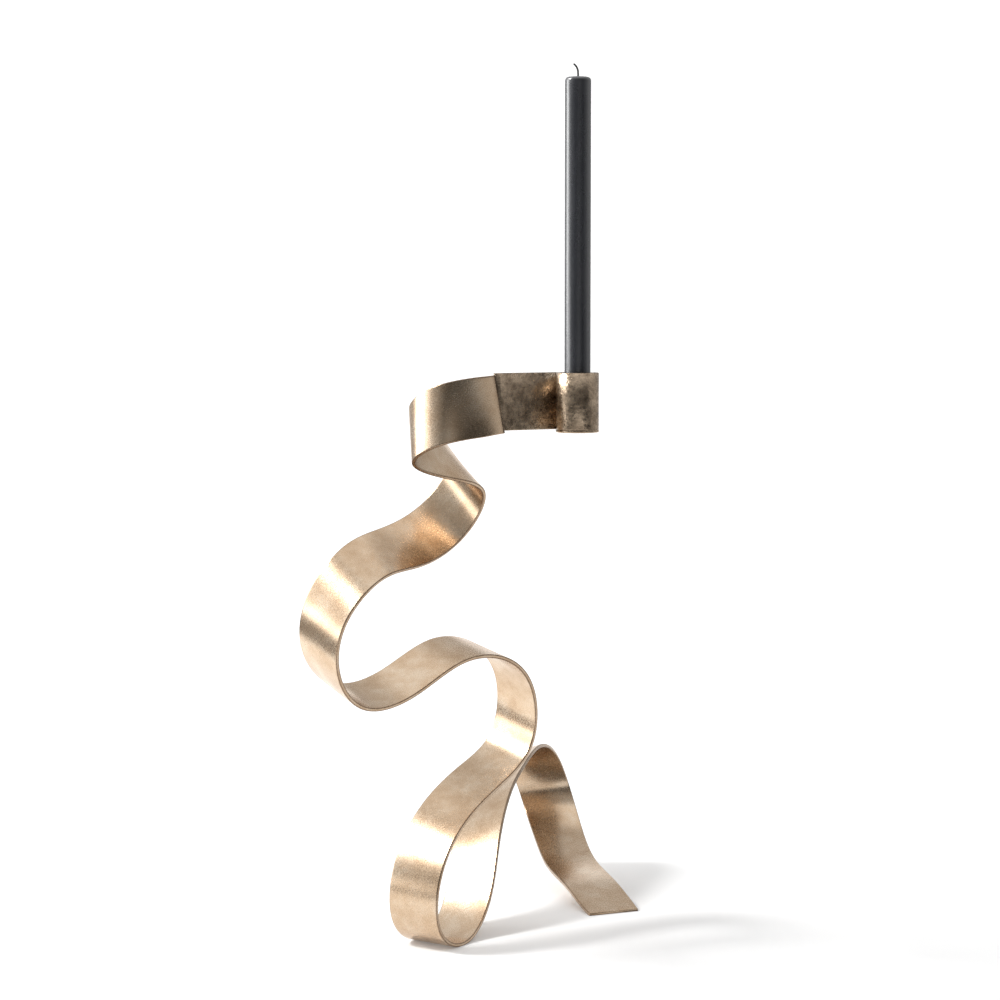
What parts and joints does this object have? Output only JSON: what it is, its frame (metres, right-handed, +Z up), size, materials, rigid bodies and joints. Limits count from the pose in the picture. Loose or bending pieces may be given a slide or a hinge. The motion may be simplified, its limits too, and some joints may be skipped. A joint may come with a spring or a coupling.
{
  "type": "spiral candle holder",
  "caption": "Free-standing candle holder: a long flat metal strip on edge loops and snakes up to a rolled cup that holds a slim dinner candle.",
  "frame": {"origin": "middle of the flat ground under the standing loop, on the table", "axes": "+Z up, +X to the right of the front view, +Y away from the viewer"},
  "size_m": [0.301, 0.4731, 0.7714],
  "materials": {
    "strip_metal": "brushed pale bronze",
    "cup_metal": "rough cast pale bronze",
    "wax": "satin dark grey wax",
    "wick_cotton": "black waxed cotton"
  },
  "bodies": {
    "stand": {"ribbon_strip": "strip_metal", "cup_roll": "cup_metal", "cup_base": "cup_metal"},
    "candle": {"candle": "wax", "wick": "wick_cotton"}
  },
  "joints": [
    {"name": "candle_lift", "type": "slide", "parent": "stand", "child": "candle", "axis": [0, 0, 1], "range_m": [0, 0.07]}
  ]
}
